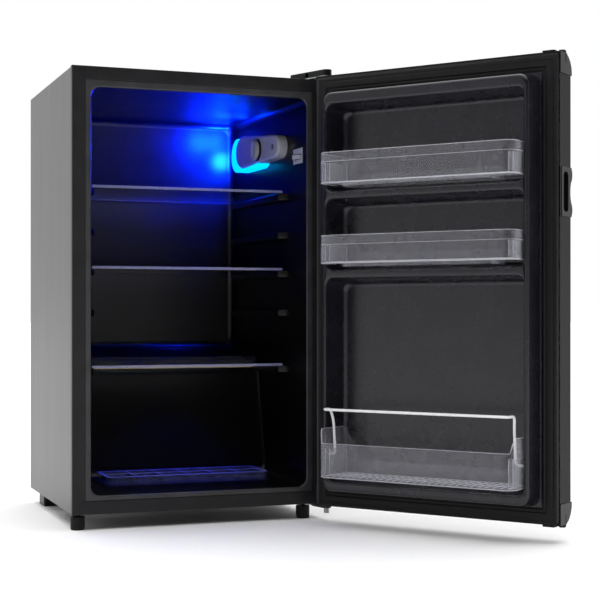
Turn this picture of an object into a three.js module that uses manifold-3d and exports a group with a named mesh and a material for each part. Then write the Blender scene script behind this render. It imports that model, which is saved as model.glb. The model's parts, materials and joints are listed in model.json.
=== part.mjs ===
// Mini fridge: an undercounter bar fridge with a reversible door standing open.
// Units are millimetres. X runs across the front, Y from front to back, Z up.
// Sizes are written from the cabinet's front lower left corner; the finished
// group is then moved so that its origin is the middle of its footprint.
import * as THREE from 'three';
import Module from 'manifold-3d';
import { mergeVertices } from 'three/addons/utils/BufferGeometryUtils.js';

const wasm = await Module();
wasm.setup();

// ---------------------------------------------------------------- dimensions
const GAP = 0.3;                 // air left between neighbouring pieces
const SHEET = 1.2;               // steel sheet
const WALL = 2;                  // moulded plastic wall
const RACK_WALL = 2.2;           // clear plastic wall

const WIDTH = 480;
const DEPTH = 434;
const HEIGHT = 800;
const FOOT_HEIGHT = 28;
const MIDDLE = WIDTH / 2;

const BAND = 24;                 // black front frame round the opening
const FRAME_DEPTH = 12;
const SIDE_MARGIN = 35;          // frame and liner lip together
const OPENING = { left: SIDE_MARGIN, right: WIDTH - SIDE_MARGIN, bottom: 33, top: 763 };
const BACK_WALL = { y: 394, left: 53.5, right: 426.5, bottom: 38, top: 759 };
const CORNER = 14;
const HUMP = { footY: 205, footZ: 38, noseY: 252, noseZ: 256, backZ: 289 };
const DRAFT = Math.atan2(OPENING.right - BACK_WALL.right, BACK_WALL.y);

const SHELF = { left: 53, right: 427, front: 82, back: 365, thickness: 5 };
const SHELF_LEVELS = { upper: 591, middle: 441.5, lower: 257.5 };
const LOWER_SHELF_BACK = 250;
const RIB = { front: 88, back: 380, reach: 62, height: 13 };
const RIB_LEVELS = [591, 516.5, 441.5, 366.5, 257.5];

const AXIS = { x: 473, y: -31 }; // door hinge axis
const HINGE = { pin: 4, upperPlate: 2.5, lowerPlate: 4, coverHeight: 10.5, head: 6 };
const HINGE_NOTCH = { left: 429.5, back: 48.5, depth: 2 }; // cut in the wrapper under the cover
const OPEN_ANGLE = 127;
const DOOR = { inner: -6, outer: -55, bottom: 3, top: 798 };
const CAP = { height: 36, wall: 2.5, round: 33, proud: 0.5 };
const DYKE = { crest: 38, left: 37.5, right: 442, bottom: 35.5, top: 760.5, lean: 3.5 };
const POCKET = { left: 46, right: 434, back: -18, lean: 6, radius: 12 };
const POCKETS = [[54, 423], [435, 566], [578, 738]];
const GASKET = { outer: 6, width: 27.5, bottom: 5, top: 792 };
const GRIP = { width: 34, bottom: 522, top: 606, bulge: 6 };

const RACK = { left: 50, right: 430, taper: 4, back: -14, shoulder: 45, front: 74, round: 20 };
const DOOR_RACKS = { upper: [590.5, 646], middle: [447.5, 498] };
const BOTTLE_RACK = { bottom: 65, top: 127, ends: 152, round: 6 };
const GUARD = { wire: 2.4, barY: 69, barZ: 187, pivotY: 32, pivotZ: 104 };
const GUARD_X = { bar: 61, leg: 64, stub: 50.5 };

const FOOT = { radius: 13.2, stud: 4, y: 13, left: 14, right: 444 };
const REAR_FOOT = { inset: 12, width: 28, front: 340, back: 395 };
const BAY = { footY: 250, noseY: 282, z: 226 }; // machine bay behind the hump
const COMPRESSOR = { x: 300, y: 360, deck: 15, spread: 46 };
const EVAPORATOR = { left: 62, right: 418, bottom: 332, top: 728, thick: 2 };
const CONDENSER = { left: 70, right: 410, low: 300, high: 760, runs: 6, wire: 2.4, bend: 20 };
const TRAY = { left: 84, right: 400, front: 84, back: 190, z: 38, height: 17, across: 6, deep: 2 };

const HOUSING = { front: [115, 685, 22.5], back: [262, 688, 33], thin: 20, thick: 33 };
const LENS = { front: [205, 682, 31], back: [300, 685, 34.5], reach: 26 };
const KNOB = { y: 189, z: 685, radius: 20, from: -28.5, to: -39 };
const SCREW = { y: 120, z: 684 };
const SWITCH = { y0: 18, y1: 61, z0: 644, z1: 673 };
const LEVER = { x: 3, y: 27, z0: 653, z1: 661, length: 26, tilt: 22 };

// ------------------------------------------------------------------ materials
function finish(color, roughness, metalness = 0) {
  return new THREE.MeshStandardMaterial({ color, roughness, metalness });
}
const BLACK_STEEL = finish(0x3a393c, 0.4, 0.6);
const BLACK_PLASTIC = finish(0x1b1a1e, 0.35);
const LINER_PLASTIC = finish(0x111018, 0.25);
const RUBBER = finish(0x161618, 0.8);
const FOAM = finish(0xe8d9a8, 0.9);
const BARE_STEEL = finish(0xb8bcc2, 0.3, 1);
const ALUMINIUM = finish(0xc9ccd1, 0.45, 1);
const COPPER = finish(0xb46a3c, 0.35, 1);
const GLASS = finish(0xbfd4d8, 0.05);
const CLEAR_PLASTIC = finish(0xd8dce6, 0.15);
const WHITE_WIRE = finish(0xf2f2f2, 0.35);
const GREY_PLASTIC = finish(0x8f93a6, 0.4);
const LAMP_BLUE = finish(0x28c8ff, 0.2);
const BOARD_GREEN = finish(0x2f6f4a, 0.5);

// -------------------------------------------------------------------- helpers
function toSolid(geometry) {
  const plain = geometry.clone();
  plain.deleteAttribute('normal');
  plain.deleteAttribute('uv');
  const merged = mergeVertices(plain, 1e-4);
  const vertProperties = merged.attributes.position.array;
  const triVerts = new Uint32Array(merged.index.array);
  return new wasm.Manifold(new wasm.Mesh({ numProp: 3, vertProperties, triVerts }));
}

function toGeometry(solid) {
  const mesh = solid.getMesh();
  const geometry = new THREE.BufferGeometry();
  geometry.setAttribute('position', new THREE.BufferAttribute(mesh.vertProperties, 3));
  geometry.setIndex(new THREE.BufferAttribute(mesh.triVerts, 1));
  geometry.computeVertexNormals();
  return geometry;
}

function join(...geometries) {
  const solids = geometries.map(toSolid);
  return toGeometry(solids.reduce((whole, next) => whole.add(next)));
}

function cut(base, ...tools) {
  return toGeometry(tools.map(toSolid).reduce((rest, tool) => rest.subtract(tool), toSolid(base)));
}

function common(first, second) {
  return toGeometry(toSolid(first).intersect(toSolid(second)));
}

function box(x0, y0, z0, x1, y1, z1) {
  const geometry = new THREE.BoxGeometry(x1 - x0, y1 - y0, z1 - z0);
  return geometry.translate((x0 + x1) / 2, (y0 + y1) / 2, (z0 + z1) / 2);
}

function polygon(points) {
  return new THREE.Shape(points.map(([a, b]) => new THREE.Vector2(a, b)));
}

function rounded(a0, b0, a1, b1, radius) {
  const quarter = Math.PI / 2;
  const shape = new THREE.Shape();
  shape.moveTo(a0 + radius, b0);
  shape.absarc(a1 - radius, b0 + radius, radius, -quarter, 0);
  shape.absarc(a1 - radius, b1 - radius, radius, 0, quarter);
  shape.absarc(a0 + radius, b1 - radius, radius, quarter, 2 * quarter);
  shape.absarc(a0 + radius, b0 + radius, radius, 2 * quarter, 3 * quarter);
  return shape;
}

// Outline round two circles of different size, each given as [a, b, radius].
function hull([a0, b0, r0], [a1, b1, r1], grow = 0) {
  const heading = Math.atan2(b1 - b0, a1 - a0);
  const spread = Math.acos((r0 - r1) / Math.hypot(a1 - a0, b1 - b0));
  const shape = new THREE.Shape();
  shape.absarc(a0, b0, r0 + grow, heading + spread, heading + 2 * Math.PI - spread);
  shape.absarc(a1, b1, r1 + grow, heading - spread, heading + spread);
  return shape;
}

function extrude(shape, depth, curveSegments = 3) {
  return new THREE.ExtrudeGeometry(shape, { depth, bevelEnabled: false, curveSegments });
}

// Outline in X and Z, drawn out along Y.
function alongY(shape, y0, y1, curveSegments) {
  return extrude(shape, y1 - y0, curveSegments).rotateX(Math.PI / 2).translate(0, y1, 0);
}

// Outline in Y and Z, drawn out along X.
function alongX(shape, x0, x1, curveSegments) {
  const geometry = extrude(shape, x1 - x0, curveSegments).rotateX(Math.PI / 2);
  return geometry.rotateZ(Math.PI / 2).translate(x0, 0, 0);
}

// Outline in X and Y, drawn out along Z.
function alongZ(shape, z0, z1, curveSegments) {
  return extrude(shape, z1 - z0, curveSegments).translate(0, 0, z0);
}

function disc(a, b, radius) {
  const shape = new THREE.Shape();
  shape.absarc(a, b, radius, 0, 2 * Math.PI);
  return shape;
}

function rod(x, y, z0, z1, radius, sides = 8) {
  return alongZ(disc(x, y, radius), z0, z1, sides);
}

// Solid of revolution about a vertical axis; the profile starts and ends on it.
function turned(x, y, profile, sides = 16) {
  const points = profile.map(([radius, z]) => new THREE.Vector2(radius, z));
  return new THREE.LatheGeometry(points, sides).rotateX(Math.PI / 2).translate(x, y, 0);
}

function tube(points, radius, steps, sides = 8) {
  const knots = points.map((p) => new THREE.Vector3(...p));
  const path = new THREE.CatmullRomCurve3(knots, false, 'centripetal');
  const section = disc(0, 0, radius);
  return new THREE.ExtrudeGeometry(section, { steps, extrudePath: path, curveSegments: sides });
}

// Route with its corners rounded, as bent wire and pipe have them.
function bentRoute(corners, radius) {
  const route = [corners[0]];
  for (let i = 1; i < corners.length - 1; i += 1) {
    const corner = new THREE.Vector3(...corners[i]);
    const before = new THREE.Vector3(...corners[i - 1]).sub(corner).setLength(radius).add(corner);
    const after = new THREE.Vector3(...corners[i + 1]).sub(corner).setLength(radius).add(corner);
    const bend = new THREE.QuadraticBezierCurve3(before, corner, after);
    route.push(...bend.getPoints(3).map((p) => p.toArray()));
  }
  route.push(corners[corners.length - 1]);
  return route;
}

// Moves each point of a geometry by a rule of its own coordinates.
function reshape(geometry, rule) {
  const position = geometry.attributes.position;
  for (let i = 0; i < position.count; i += 1) {
    position.setXYZ(i, ...rule(position.getX(i), position.getY(i), position.getZ(i)));
  }
  return geometry;
}

function mix(from, to, t) {
  return from + (to - from) * t;
}

function add(group, name, geometry, material) {
  const mesh = new THREE.Mesh(geometry, material);
  mesh.name = name;
  group.add(mesh);
}

// -------------------------------------------------------------- cabinet shell
function outerWrapper() {
  const outline = polygon([
    [1, 0], [1 + SHEET, 0], [1 + SHEET, HEIGHT - 1 - SHEET], [WIDTH - 1 - SHEET, HEIGHT - 1 - SHEET],
    [WIDTH - 1 - SHEET, 0], [WIDTH - 1, 0], [WIDTH - 1, HEIGHT - 1], [1, HEIGHT - 1],
  ]);
  const { left, back, depth } = HINGE_NOTCH;
  const notch = box(left, 0, HEIGHT - 1 - depth, WIDTH, back, HEIGHT);
  return cut(alongY(outline, FRAME_DEPTH + GAP, DEPTH - 1), notch);
}

function frontFrame() {
  const block = box(0, 0, 0, WIDTH, FRAME_DEPTH, HEIGHT);
  const hollow = box(2, 2, 2, WIDTH - 2, FRAME_DEPTH + 1, HEIGHT - 2);
  const window = box(BAND, -1, BAND, WIDTH - BAND, FRAME_DEPTH, HEIGHT - BAND);
  return cut(block, hollow, window);
}

function rearPanel() {
  return box(3, DEPTH - 1 - SHEET - GAP, BAY.z + 4, WIDTH - 3, DEPTH - 1 - GAP, HEIGHT - 3);
}

function bottomPlate() {
  const { footY, noseY, z } = BAY;
  const outline = polygon([
    [14, 0], [footY, 0], [noseY, z], [DEPTH - 4, z], [DEPTH - 4, z + SHEET],
    [noseY - 1, z + SHEET], [footY - 1, SHEET], [14, SHEET],
  ]);
  const studHoles = [FOOT.left, FOOT.right].map((x) => rod(x, FOOT.y + 6, -1, 3, FOOT.stud + 1));
  return cut(alongX(outline, 3, WIDTH - 3), ...studHoles);
}

function cavityBox(grow) {
  const { left, right, bottom, top } = OPENING;
  const shape = rounded(left - grow, bottom - grow, right + grow, top + grow, CORNER + grow);
  const halfFront = (right - left) / 2 + grow;
  const halfBack = (BACK_WALL.right - BACK_WALL.left) / 2 + grow;
  return reshape(alongY(shape, 0, BACK_WALL.y + grow), (x, y, z) => {
    const t = y / BACK_WALL.y;
    const share = (z - bottom) / (top - bottom);
    const lift = mix(BACK_WALL.bottom - bottom, BACK_WALL.top - top, share);
    return [MIDDLE + (x - MIDDLE) * mix(1, halfBack / halfFront, t), y, z + lift * t];
  });
}

function humpBlock(grow) {
  const { footY, footZ, noseY, noseZ, backZ } = HUMP;
  const slope = (backZ - noseZ) / (BACK_WALL.y - noseY);
  const end = BACK_WALL.y + 20;
  return alongX(polygon([
    [footY + grow, footZ - 20], [end, footZ - 20], [end, noseZ + slope * (end - noseY) - grow],
    [noseY + grow, noseZ - grow], [footY + grow, footZ],
  ]), 0, WIDTH);
}

function cavityForm(grow) {
  return cut(cavityBox(grow), humpBlock(grow));
}

function shelfRibs() {
  const ribs = [];
  for (const z of RIB_LEVELS) {
    const back = z < HUMP.backZ ? LOWER_SHELF_BACK - 4 : RIB.back;
    const outline = [
      [20, RIB.front], [44, RIB.front], [RIB.reach, RIB.front + 12], [RIB.reach, back], [20, back],
    ];
    const mirrored = outline.map(([x, y]) => [WIDTH - x, y]).reverse();
    ribs.push(alongZ(polygon(outline), z - GAP - RIB.height, z - GAP));
    ribs.push(alongZ(polygon(mirrored), z - GAP - RIB.height, z - GAP));
  }
  return common(join(...ribs), cavityBox(WALL / 2));
}

function switchPocket(grow) {
  const { y0, y1, z0, z1 } = SWITCH;
  return onRightWall(box(-4, y0 + 4 - grow, z0 + 4 - grow, 11 + grow, y1 - 3 + grow, z1 - 4 + grow));
}

function onRightWall(geometry) {
  return geometry.rotateZ(DRAFT).translate(OPENING.right, 0, 0);
}

function innerLiner() {
  const { left, right, bottom, top } = OPENING;
  const flange = box(BAND - 14, 2 + GAP, BAND - 14, WIDTH - BAND + 14, 2 + GAP + WALL, HEIGHT - BAND + 14);
  const lip = box(BAND + GAP, 0.8, BAND + GAP, WIDTH - BAND - GAP, 2 + GAP + WALL, HEIGHT - BAND - GAP);
  const shell = common(cavityForm(WALL), box(0, 1, 0, WIDTH, DEPTH, HEIGHT));
  const mouth = alongY(rounded(left, bottom, right, top, CORNER), -2, 1);
  const hollow = cut(join(flange, lip, shell), cavityForm(0), mouth);
  return cut(join(hollow, shelfRibs()), switchPocket(GAP));
}

function insulationFoam() {
  const { footY, noseY, z } = BAY;
  const side = polygon([
    [6, 2 + GAP], [footY - 2, 2 + GAP], [noseY - 2, z + SHEET + GAP], [DEPTH - 12, z + SHEET + GAP],
    [DEPTH - 12, HEIGHT - 3], [6, HEIGHT - 3],
  ]);
  const studSockets = [FOOT.left, FOOT.right].map((x) => rod(x, FOOT.y + 6, 0, 20, FOOT.stud + 1.5));
  return cut(alongX(side, 3, WIDTH - 3), cavityForm(WALL + GAP), evaporatorPocket(),
    switchPocket(2 * GAP), ...studSockets);
}

function evaporatorPocket() {
  const { left, right, bottom, top } = EVAPORATOR;
  return box(left - 2, BACK_WALL.y - 14, bottom - 2, right + 2, BACK_WALL.y + 5, top + 2);
}

function evaporatorPlate() {
  const { left, right, bottom, top, thick } = EVAPORATOR;
  const front = BACK_WALL.y + WALL + GAP;
  return box(left, front, bottom, right, front + thick, top);
}

function condenserCoil() {
  const { left, right, low, high, runs, wire, bend } = CONDENSER;
  const corners = [];
  for (let i = 0; i < runs; i += 1) {
    const x = mix(left, right, i / (runs - 1));
    const ends = i % 2 ? [high, low] : [low, high];
    corners.push([x, DEPTH - 7, ends[0]], [x, DEPTH - 7, ends[1]]);
  }
  return tube(bentRoute(corners, bend), wire, 96, 3);
}

// ------------------------------------------------------------- machine bay
function compressorRail() {
  const outline = polygon([
    [300, 2], [302, 2], [302, 2 + SHEET], [426, 2 + SHEET], [426, 16], [428, 16], [428, 0], [300, 0],
  ]);
  return alongX(outline, 3, WIDTH - 3);
}

function compressor() {
  const { x, y, deck, spread } = COMPRESSOR;
  const shell = turned(x, y, [
    [0, deck], [44, deck], [56, deck + 12], [59, deck + 50], [59, deck + 84], [52, deck + 112],
    [34, deck + 130], [0, deck + 135],
  ], 18);
  const deckPlate = box(x - spread - 12, y - spread - 12, deck, x + spread + 12, y + spread + 12, deck + 4);
  const holes = grommetPlaces().map(([gx, gy]) => rod(gx, gy, deck - 1, deck + 5, 4.5, 8));
  return cut(join(shell, deckPlate), ...holes);
}

function grommetPlaces() {
  const { x, y, spread } = COMPRESSOR;
  return [[-1, -1], [1, -1], [-1, 1], [1, 1]].map(([a, b]) => [x + a * (spread + 3), y + b * (spread + 3)]);
}

function grommet([x, y]) {
  const { deck } = COMPRESSOR;
  const low = 2 + SHEET + GAP;
  const top = deck - GAP;
  const head = deck + 9;
  return turned(x, y, [[0, low], [9, low], [9, top], [4, top], [4, head], [0, head]], 10);
}

function relayCover() {
  const { x, y } = COMPRESSOR;
  return alongX(rounded(y - 26, 42, y + 26, 104, 6), x - 92, x - 60 - GAP);
}

function filterDrier() {
  return turned(150, 385, [[0, 60], [3, 62], [8, 72], [8, 150], [3, 160], [0, 162]], 12);
}

function suctionPipe() {
  const { x, y, deck } = COMPRESSOR;
  const corners = [[x + 20, y + 62, deck + 60], [x + 70, y + 62, deck + 60], [x + 110, y + 50, deck + 60],
    [x + 110, y + 50, BAY.z - 1]];
  return tube(bentRoute(corners, 14), 3.2, 30, 3);
}

function evaporationTray() {
  const { x, y, deck } = COMPRESSOR;
  const base = deck + 136;
  const outer = box(x - 70, y - 48, base, x + 70, y + 48, base + 22);
  return cut(outer, box(x - 68, y - 46, base + 2, x + 68, y + 46, base + 23));
}

function cordGland() {
  const collar = alongY(disc(90, 12, 9), 428 + GAP, 433, 8);
  const throat = alongY(disc(90, 12, 4), 425, 434, 8);
  return cut(collar, throat);
}

function rearFoot(x) {
  const shape = rounded(x, REAR_FOOT.front, x + REAR_FOOT.width, REAR_FOOT.back, 5);
  return alongZ(shape, -FOOT_HEIGHT, -GAP);
}

function frontFoot(x) {
  const y = FOOT.y + 6;
  const { radius, stud } = FOOT;
  return turned(x, y, [
    [0, -FOOT_HEIGHT], [radius - 1.6, -FOOT_HEIGHT], [radius - 0.6, -FOOT_HEIGHT + 2], [radius, -5],
    [radius - 1, -2], [stud, -2], [stud, 17], [0, 17],
  ], 16);
}

// ------------------------------------------------------------- door hinges
function nose(radius, from, to) {
  const shape = new THREE.Shape();
  shape.absarc(AXIS.x, AXIS.y, radius, from, to);
  return shape;
}

function upperHingeBracket() {
  const shape = nose(8.5, Math.PI * 1.1, Math.PI * 2);
  shape.lineTo(478, 44);
  shape.lineTo(434, 44);
  const plate = alongZ(shape, HEIGHT + GAP, HEIGHT + GAP + HINGE.upperPlate, 6);
  return cut(plate, rod(AXIS.x, AXIS.y, HEIGHT, HEIGHT + 4, HINGE.pin + GAP));
}

function upperHingeCover() {
  const base = HEIGHT + HINGE.upperPlate + 2 * GAP;
  const shape = nose(9.5, Math.PI * 1.1, Math.PI * 2);
  shape.lineTo(479, 48);
  shape.lineTo(430, 48);
  const shell = alongZ(shape, base, base + HINGE.coverHeight, 6);
  const headHole = rod(AXIS.x, AXIS.y, HEIGHT, HEIGHT + 20, HINGE.head + 2 * GAP);
  return cut(shell, headHole, box(446, 2, HEIGHT, 472, 42, base + 8));
}

function upperHingePin() {
  const { pin, head } = HINGE;
  const low = DOOR.top - 16;
  const seat = HEIGHT + HINGE.upperPlate + 2 * GAP;
  return turned(AXIS.x, AXIS.y, [
    [0, low], [pin - 1, low], [pin, low + 2], [pin, seat], [head, seat], [head, seat + 11],
    [head - 1, seat + 12], [0, seat + 12],
  ]);
}

function lowerHingeBracket() {
  const shape = nose(8.5, Math.PI, Math.PI * 2);
  shape.lineTo(479, 60);
  shape.lineTo(459, 60);
  shape.lineTo(459, -10);
  const plate = alongZ(shape, -HINGE.lowerPlate - GAP, -GAP, 6);
  const screwHoles = lowerScrewPlaces().map(([x, y]) => rod(x, y, -5, 1, 3, 8));
  return cut(plate, rod(AXIS.x, AXIS.y, -5, 1, HINGE.pin + GAP), ...screwHoles);
}

function lowerScrewPlaces() {
  return [[469, 22], [469, 48]];
}

function lowerHingeScrew([x, y]) {
  const under = -HINGE.lowerPlate - 2 * GAP;
  return turned(x, y, [
    [0, under - 3], [4, under - 3], [5.5, under - 1], [5.5, under], [2.6, under], [2.6, -GAP], [0, -GAP],
  ], 12);
}

function lowerHingePin() {
  const { pin, lowerPlate } = HINGE;
  const under = -lowerPlate - 2 * GAP;
  return turned(AXIS.x, AXIS.y, [
    [0, under - 9], [pin + 1, under - 9], [pin + 1, under], [pin, under], [pin, 16], [pin - 1, 18], [0, 18],
  ]);
}

// --------------------------------------------------- lamp, thermostat, switch
function slopedReach(geometry) {
  const { front, back, thin, thick } = HOUSING;
  const first = front[0] - front[2];
  const last = back[0] + back[2];
  return reshape(geometry, (x, y, z) => {
    const reach = mix(thin, thick, (y - first) / (last - first));
    return [x < -thin ? x + thick - reach : x, y, z];
  });
}

function housingForm(grow, face, root) {
  return slopedReach(alongX(hull(HOUSING.front, HOUSING.back, grow), -HOUSING.thick + face, root, 8));
}

function thermostatHousing() {
  const shell = cut(housingForm(0, 0, -GAP), housingForm(-WALL, WALL, 2));
  const post = alongX(disc(SCREW.y, SCREW.z, 8), -21, -GAP, 8);
  const whole = join(shell, post);
  const screwRecess = alongX(disc(SCREW.y, SCREW.z, 5.6), -40, -15, 8);
  const screwHole = alongX(disc(SCREW.y, SCREW.z, 2.4), -20, 1, 6);
  const stemHole = alongX(disc(KNOB.y, KNOB.z, 4.6), -40, -20, 8);
  return onRightWall(cut(whole, screwRecess, screwHole, stemHole));
}

function lampLens() {
  const outer = alongX(hull(LENS.front, LENS.back), -LENS.reach, -GAP, 10);
  const inner = alongX(hull(LENS.front, LENS.back, -WALL), -LENS.reach + WALL, 1, 10);
  const seat = alongX(hull(HOUSING.front, HOUSING.back, GAP), -HOUSING.thick - 5, 2, 8);
  return onRightWall(cut(outer, inner, seat));
}

function lampBoard() {
  return onRightWall(box(-5, 304, 671, -2, 326, 699));
}

function thermostatBody() {
  return onRightWall(box(-15, KNOB.y - 22, KNOB.z - 18, -1, KNOB.y + 22, KNOB.z + 16));
}

function housingScrew() {
  const profile = [[0, 0], [2, 0], [2, 10], [4.4, 10], [4.4, 12], [3, 13], [0, 13]];
  const screw = turned(0, 0, profile, 12).rotateY(-Math.PI / 2);
  return onRightWall(screw.translate(-4.7 - 0.6, SCREW.y, SCREW.z));
}

function thermostatKnob() {
  const { y, z, radius, from, to } = KNOB;
  const stem = alongX(disc(y, z, 4), from - 1, -16, 8);
  const skirt = alongX(disc(y, z, radius), from - 3, from, 12);
  const cap = alongX(disc(y, z, radius - 2), to + 2, from - 2, 12);
  const bar = alongX(rounded(y - 4, z - radius + 3, y + 4, z + radius - 3, 3), to, to + 3);
  return onRightWall(join(stem, skirt, cap, bar));
}

function switchPlate() {
  const { y0, y1, z0, z1 } = SWITCH;
  const flange = box(-1.8, y0, z0, -GAP, y1, z1);
  const body = box(-1, y0 + 4, z0 + 4, 11, y1 - 3, z1 - 4);
  const slot = box(-3, y0 + 5.5, z0 + 7.5, 9.5, y1 - 4.5, z1 - 10.5);
  return onRightWall(cut(join(flange, body), slot));
}

function switchLever() {
  const { x, y, z0, z1, length, tilt } = LEVER;
  const arm = box(-2, -2, z0, 2, length, z1);
  return onRightWall(arm.rotateZ(THREE.MathUtils.degToRad(tilt)).translate(x, y, 0));
}

// -------------------------------------------------------------- glass shelves
function glassShelf(level, back) {
  return box(SHELF.left, SHELF.front, level, SHELF.right, back, level + SHELF.thickness);
}

function rearTrim(level, back) {
  const outline = polygon([
    [back + GAP, level], [back + 6, level], [back + 6, level + 14], [back - 6, level + 14],
    [back - 6, level + SHELF.thickness + GAP], [back + GAP, level + SHELF.thickness + GAP],
  ]);
  return alongX(outline, SHELF.left + 2, SHELF.right - 2);
}

function cubeTray() {
  const { left, right, front, back, z, height, across, deep } = TRAY;
  const rim = 8;
  const rib = 3;
  const cellWidth = (right - left - 2 * rim + rib) / across;
  const cellDepth = (back - front - 2 * rim + rib) / deep;
  const cells = [];
  for (let i = 0; i < across; i += 1) {
    for (let j = 0; j < deep; j += 1) {
      const x = left + rim + i * cellWidth;
      const y = front + rim + j * cellDepth;
      cells.push(box(x, y, z + 1.8, x + cellWidth - rib, y + cellDepth - rib, z + height + 1));
    }
  }
  return cut(alongZ(rounded(left, front, right, back, 10), z, z + height), ...cells);
}

// ------------------------------------------------------------------- the door
function doorSkin() {
  const { inner, outer, bottom, top } = DOOR;
  const back = inner - GAP;
  const turn = 5;
  const outline = new THREE.Shape();
  outline.moveTo(0, back);
  outline.absarc(turn, outer + turn, turn, Math.PI, Math.PI * 1.5);
  outline.absarc(WIDTH - turn, outer + turn, turn, Math.PI * 1.5, Math.PI * 2);
  outline.lineTo(WIDTH, back);
  outline.lineTo(WIDTH - 1, back);
  outline.absarc(WIDTH - turn, outer + turn, turn - 1, Math.PI * 2, Math.PI * 1.5, true);
  outline.absarc(turn, outer + turn, turn - 1, Math.PI * 1.5, Math.PI, true);
  outline.lineTo(1, back);
  const sheet = alongZ(outline, bottom + CAP.height, top - CAP.height);
  return cut(sheet, gripBlock(GAP));
}

function gripBlock(grow) {
  const { width, bottom, top } = GRIP;
  return box(-5, DOOR.outer - 10, bottom - grow, width + grow, DOOR.inner - 6 + grow, top + grow);
}

// Upper cap profile in Y and Z, rounded over at the front of the door.
function capProfile(inset, low) {
  const { inner, outer, top } = DOOR;
  const front = outer - CAP.proud + inset;
  const shape = new THREE.Shape();
  shape.moveTo(inner, low);
  shape.lineTo(inner, top - inset);
  shape.absarc(front + CAP.round - inset, top - CAP.round, CAP.round - inset, Math.PI / 2, Math.PI);
  shape.lineTo(front, low);
  return shape;
}

function capBosses() {
  const bosses = [];
  for (const [x0, x1] of [[15, 38], [WIDTH - 38, WIDTH - 19]]) {
    const height = x0 < MIDDLE ? 5 : 1.6;
    bosses.push(alongZ(rounded(x0, -41, x1, -16, 4), DOOR.top - 1, DOOR.top + height));
  }
  return bosses;
}

function pinHoles(radius) {
  return [AXIS.x, WIDTH - AXIS.x].map((x) => rod(x, AXIS.y, DOOR.top - 20, DOOR.top + 8, radius));
}

function topCapForm() {
  const { inner, top } = DOOR;
  const outer = alongX(capProfile(0, top - CAP.height + GAP), -CAP.proud, WIDTH + CAP.proud, 6);
  const hollow = alongX(capProfile(CAP.wall, top - CAP.height - 5), 2, WIDTH - 2, 6);
  const innerSide = box(2, inner - CAP.wall, top - CAP.height - 5, WIDTH - 2, inner + 1, top - 6);
  const sockets = [AXIS.x, WIDTH - AXIS.x].map((x) => rod(x, AXIS.y, top - 16, top - 1, 9 - 2 * GAP));
  const envelope = box(-5, -80, 0, WIDTH + 5, 0, 900);
  const trimmed = common(join(cut(outer, hollow, innerSide), ...sockets), envelope);
  const bosses = join(trimmed, ...capBosses());
  return cut(bosses, ...pinHoles(6 + GAP));
}

// The door's lower end is its upper end upside down.
function flipped(geometry) {
  const mirrored = reshape(geometry, (x, y, z) => [x, y, DOOR.bottom + DOOR.top - z]);
  const order = mirrored.index.array;
  for (let i = 0; i < order.length; i += 3) {
    [order[i], order[i + 1]] = [order[i + 1], order[i]];
  }
  mirrored.computeVertexNormals();
  return mirrored;
}

function hingeBush() {
  const { top } = DOOR;
  const sleeve = rod(AXIS.x, AXIS.y, top - 15.5, top - 0.5, HINGE.pin + 2);
  return cut(sleeve, rod(AXIS.x, AXIS.y, top - 17, top + 1, HINGE.pin + GAP));
}

function holePlug() {
  const { top } = DOOR;
  const x = WIDTH - AXIS.x;
  return turned(x, AXIS.y, [
    [0, top - 12], [5, top - 12], [6, top - 10], [6, top + GAP], [7, top + GAP], [7, top + 2],
    [5.5, top + 5.5], [0, top + 5.5],
  ], 14);
}

// The liner's visible surface as a solid, set back by an inset, out to a rear plane.
function doorForm(inset, rear, edge) {
  const { inner, bottom, top } = DOOR;
  const flange = box(edge, rear, bottom + edge + 2, WIDTH - edge, inner - inset, top - edge - 2);
  const { crest, left, right, lean } = DYKE;
  const plan = rounded(left + inset, DYKE.bottom + inset, right - inset, DYKE.top - inset, 16);
  const dyke = alongY(plan, rear, crest - inset);
  const leaning = reshape(dyke, (x, y, z) => {
    const shift = y > 0 ? lean : 0;
    return [x + (x < MIDDLE ? shift : -shift), y, z + (z < HEIGHT / 2 ? shift : -shift)];
  });
  return cut(join(flange, leaning), ...POCKETS.map(([low, high]) => pocket(low, high, inset)));
}

function pocket(low, high, grow) {
  const { left, right, back, lean, radius } = POCKET;
  const floor = back - grow;
  const shape = rounded(left - grow, low - grow, right + grow, high + grow, radius + grow);
  return reshape(alongY(shape, floor, DYKE.crest + 5), (x, y, z) => {
    const shift = y <= floor + 0.01 ? lean : 0;
    return [x + (x < MIDDLE ? shift : -shift), y, z + (z < (low + high) / 2 ? shift : -shift)];
  });
}

function doorLiner() {
  const rear = POCKET.back - WALL;
  return cut(doorForm(0, rear, 6), doorForm(WALL, rear - 5, 4));
}

function doorFoam() {
  const { inner, outer } = DOOR;
  const block = doorForm(WALL + GAP, outer + 1 + GAP, 7);
  const inCaps = alongX(capProfile(CAP.wall + GAP + 0.5, -50), 3, WIDTH - 3, 6);
  const lowCaps = flipped(toGeometry(toSolid(inCaps)));
  const between = box(-5, inner - 1, 30, WIDTH + 5, 60, HEIGHT - 30);
  const envelope = common(join(inCaps, between), join(lowCaps, between));
  const sockets = [];
  for (const x of [AXIS.x, WIDTH - AXIS.x]) {
    sockets.push(rod(x, AXIS.y, DOOR.top - 22, HEIGHT, 9));
    sockets.push(rod(x, AXIS.y, -2, DOOR.bottom + 22, 9));
  }
  return cut(common(block, envelope), gripBlock(2 * GAP), ...sockets);
}

function doorGasket() {
  const { outer, width, bottom, top } = GASKET;
  const ring = box(outer, DOOR.inner + GAP, bottom, WIDTH - outer, -0.4, top);
  const far = WIDTH - outer - width;
  const hole = box(outer + width, DOOR.inner - 1, bottom + width - 1, far, 1, top - width + 1);
  return cut(ring, hole);
}

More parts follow.
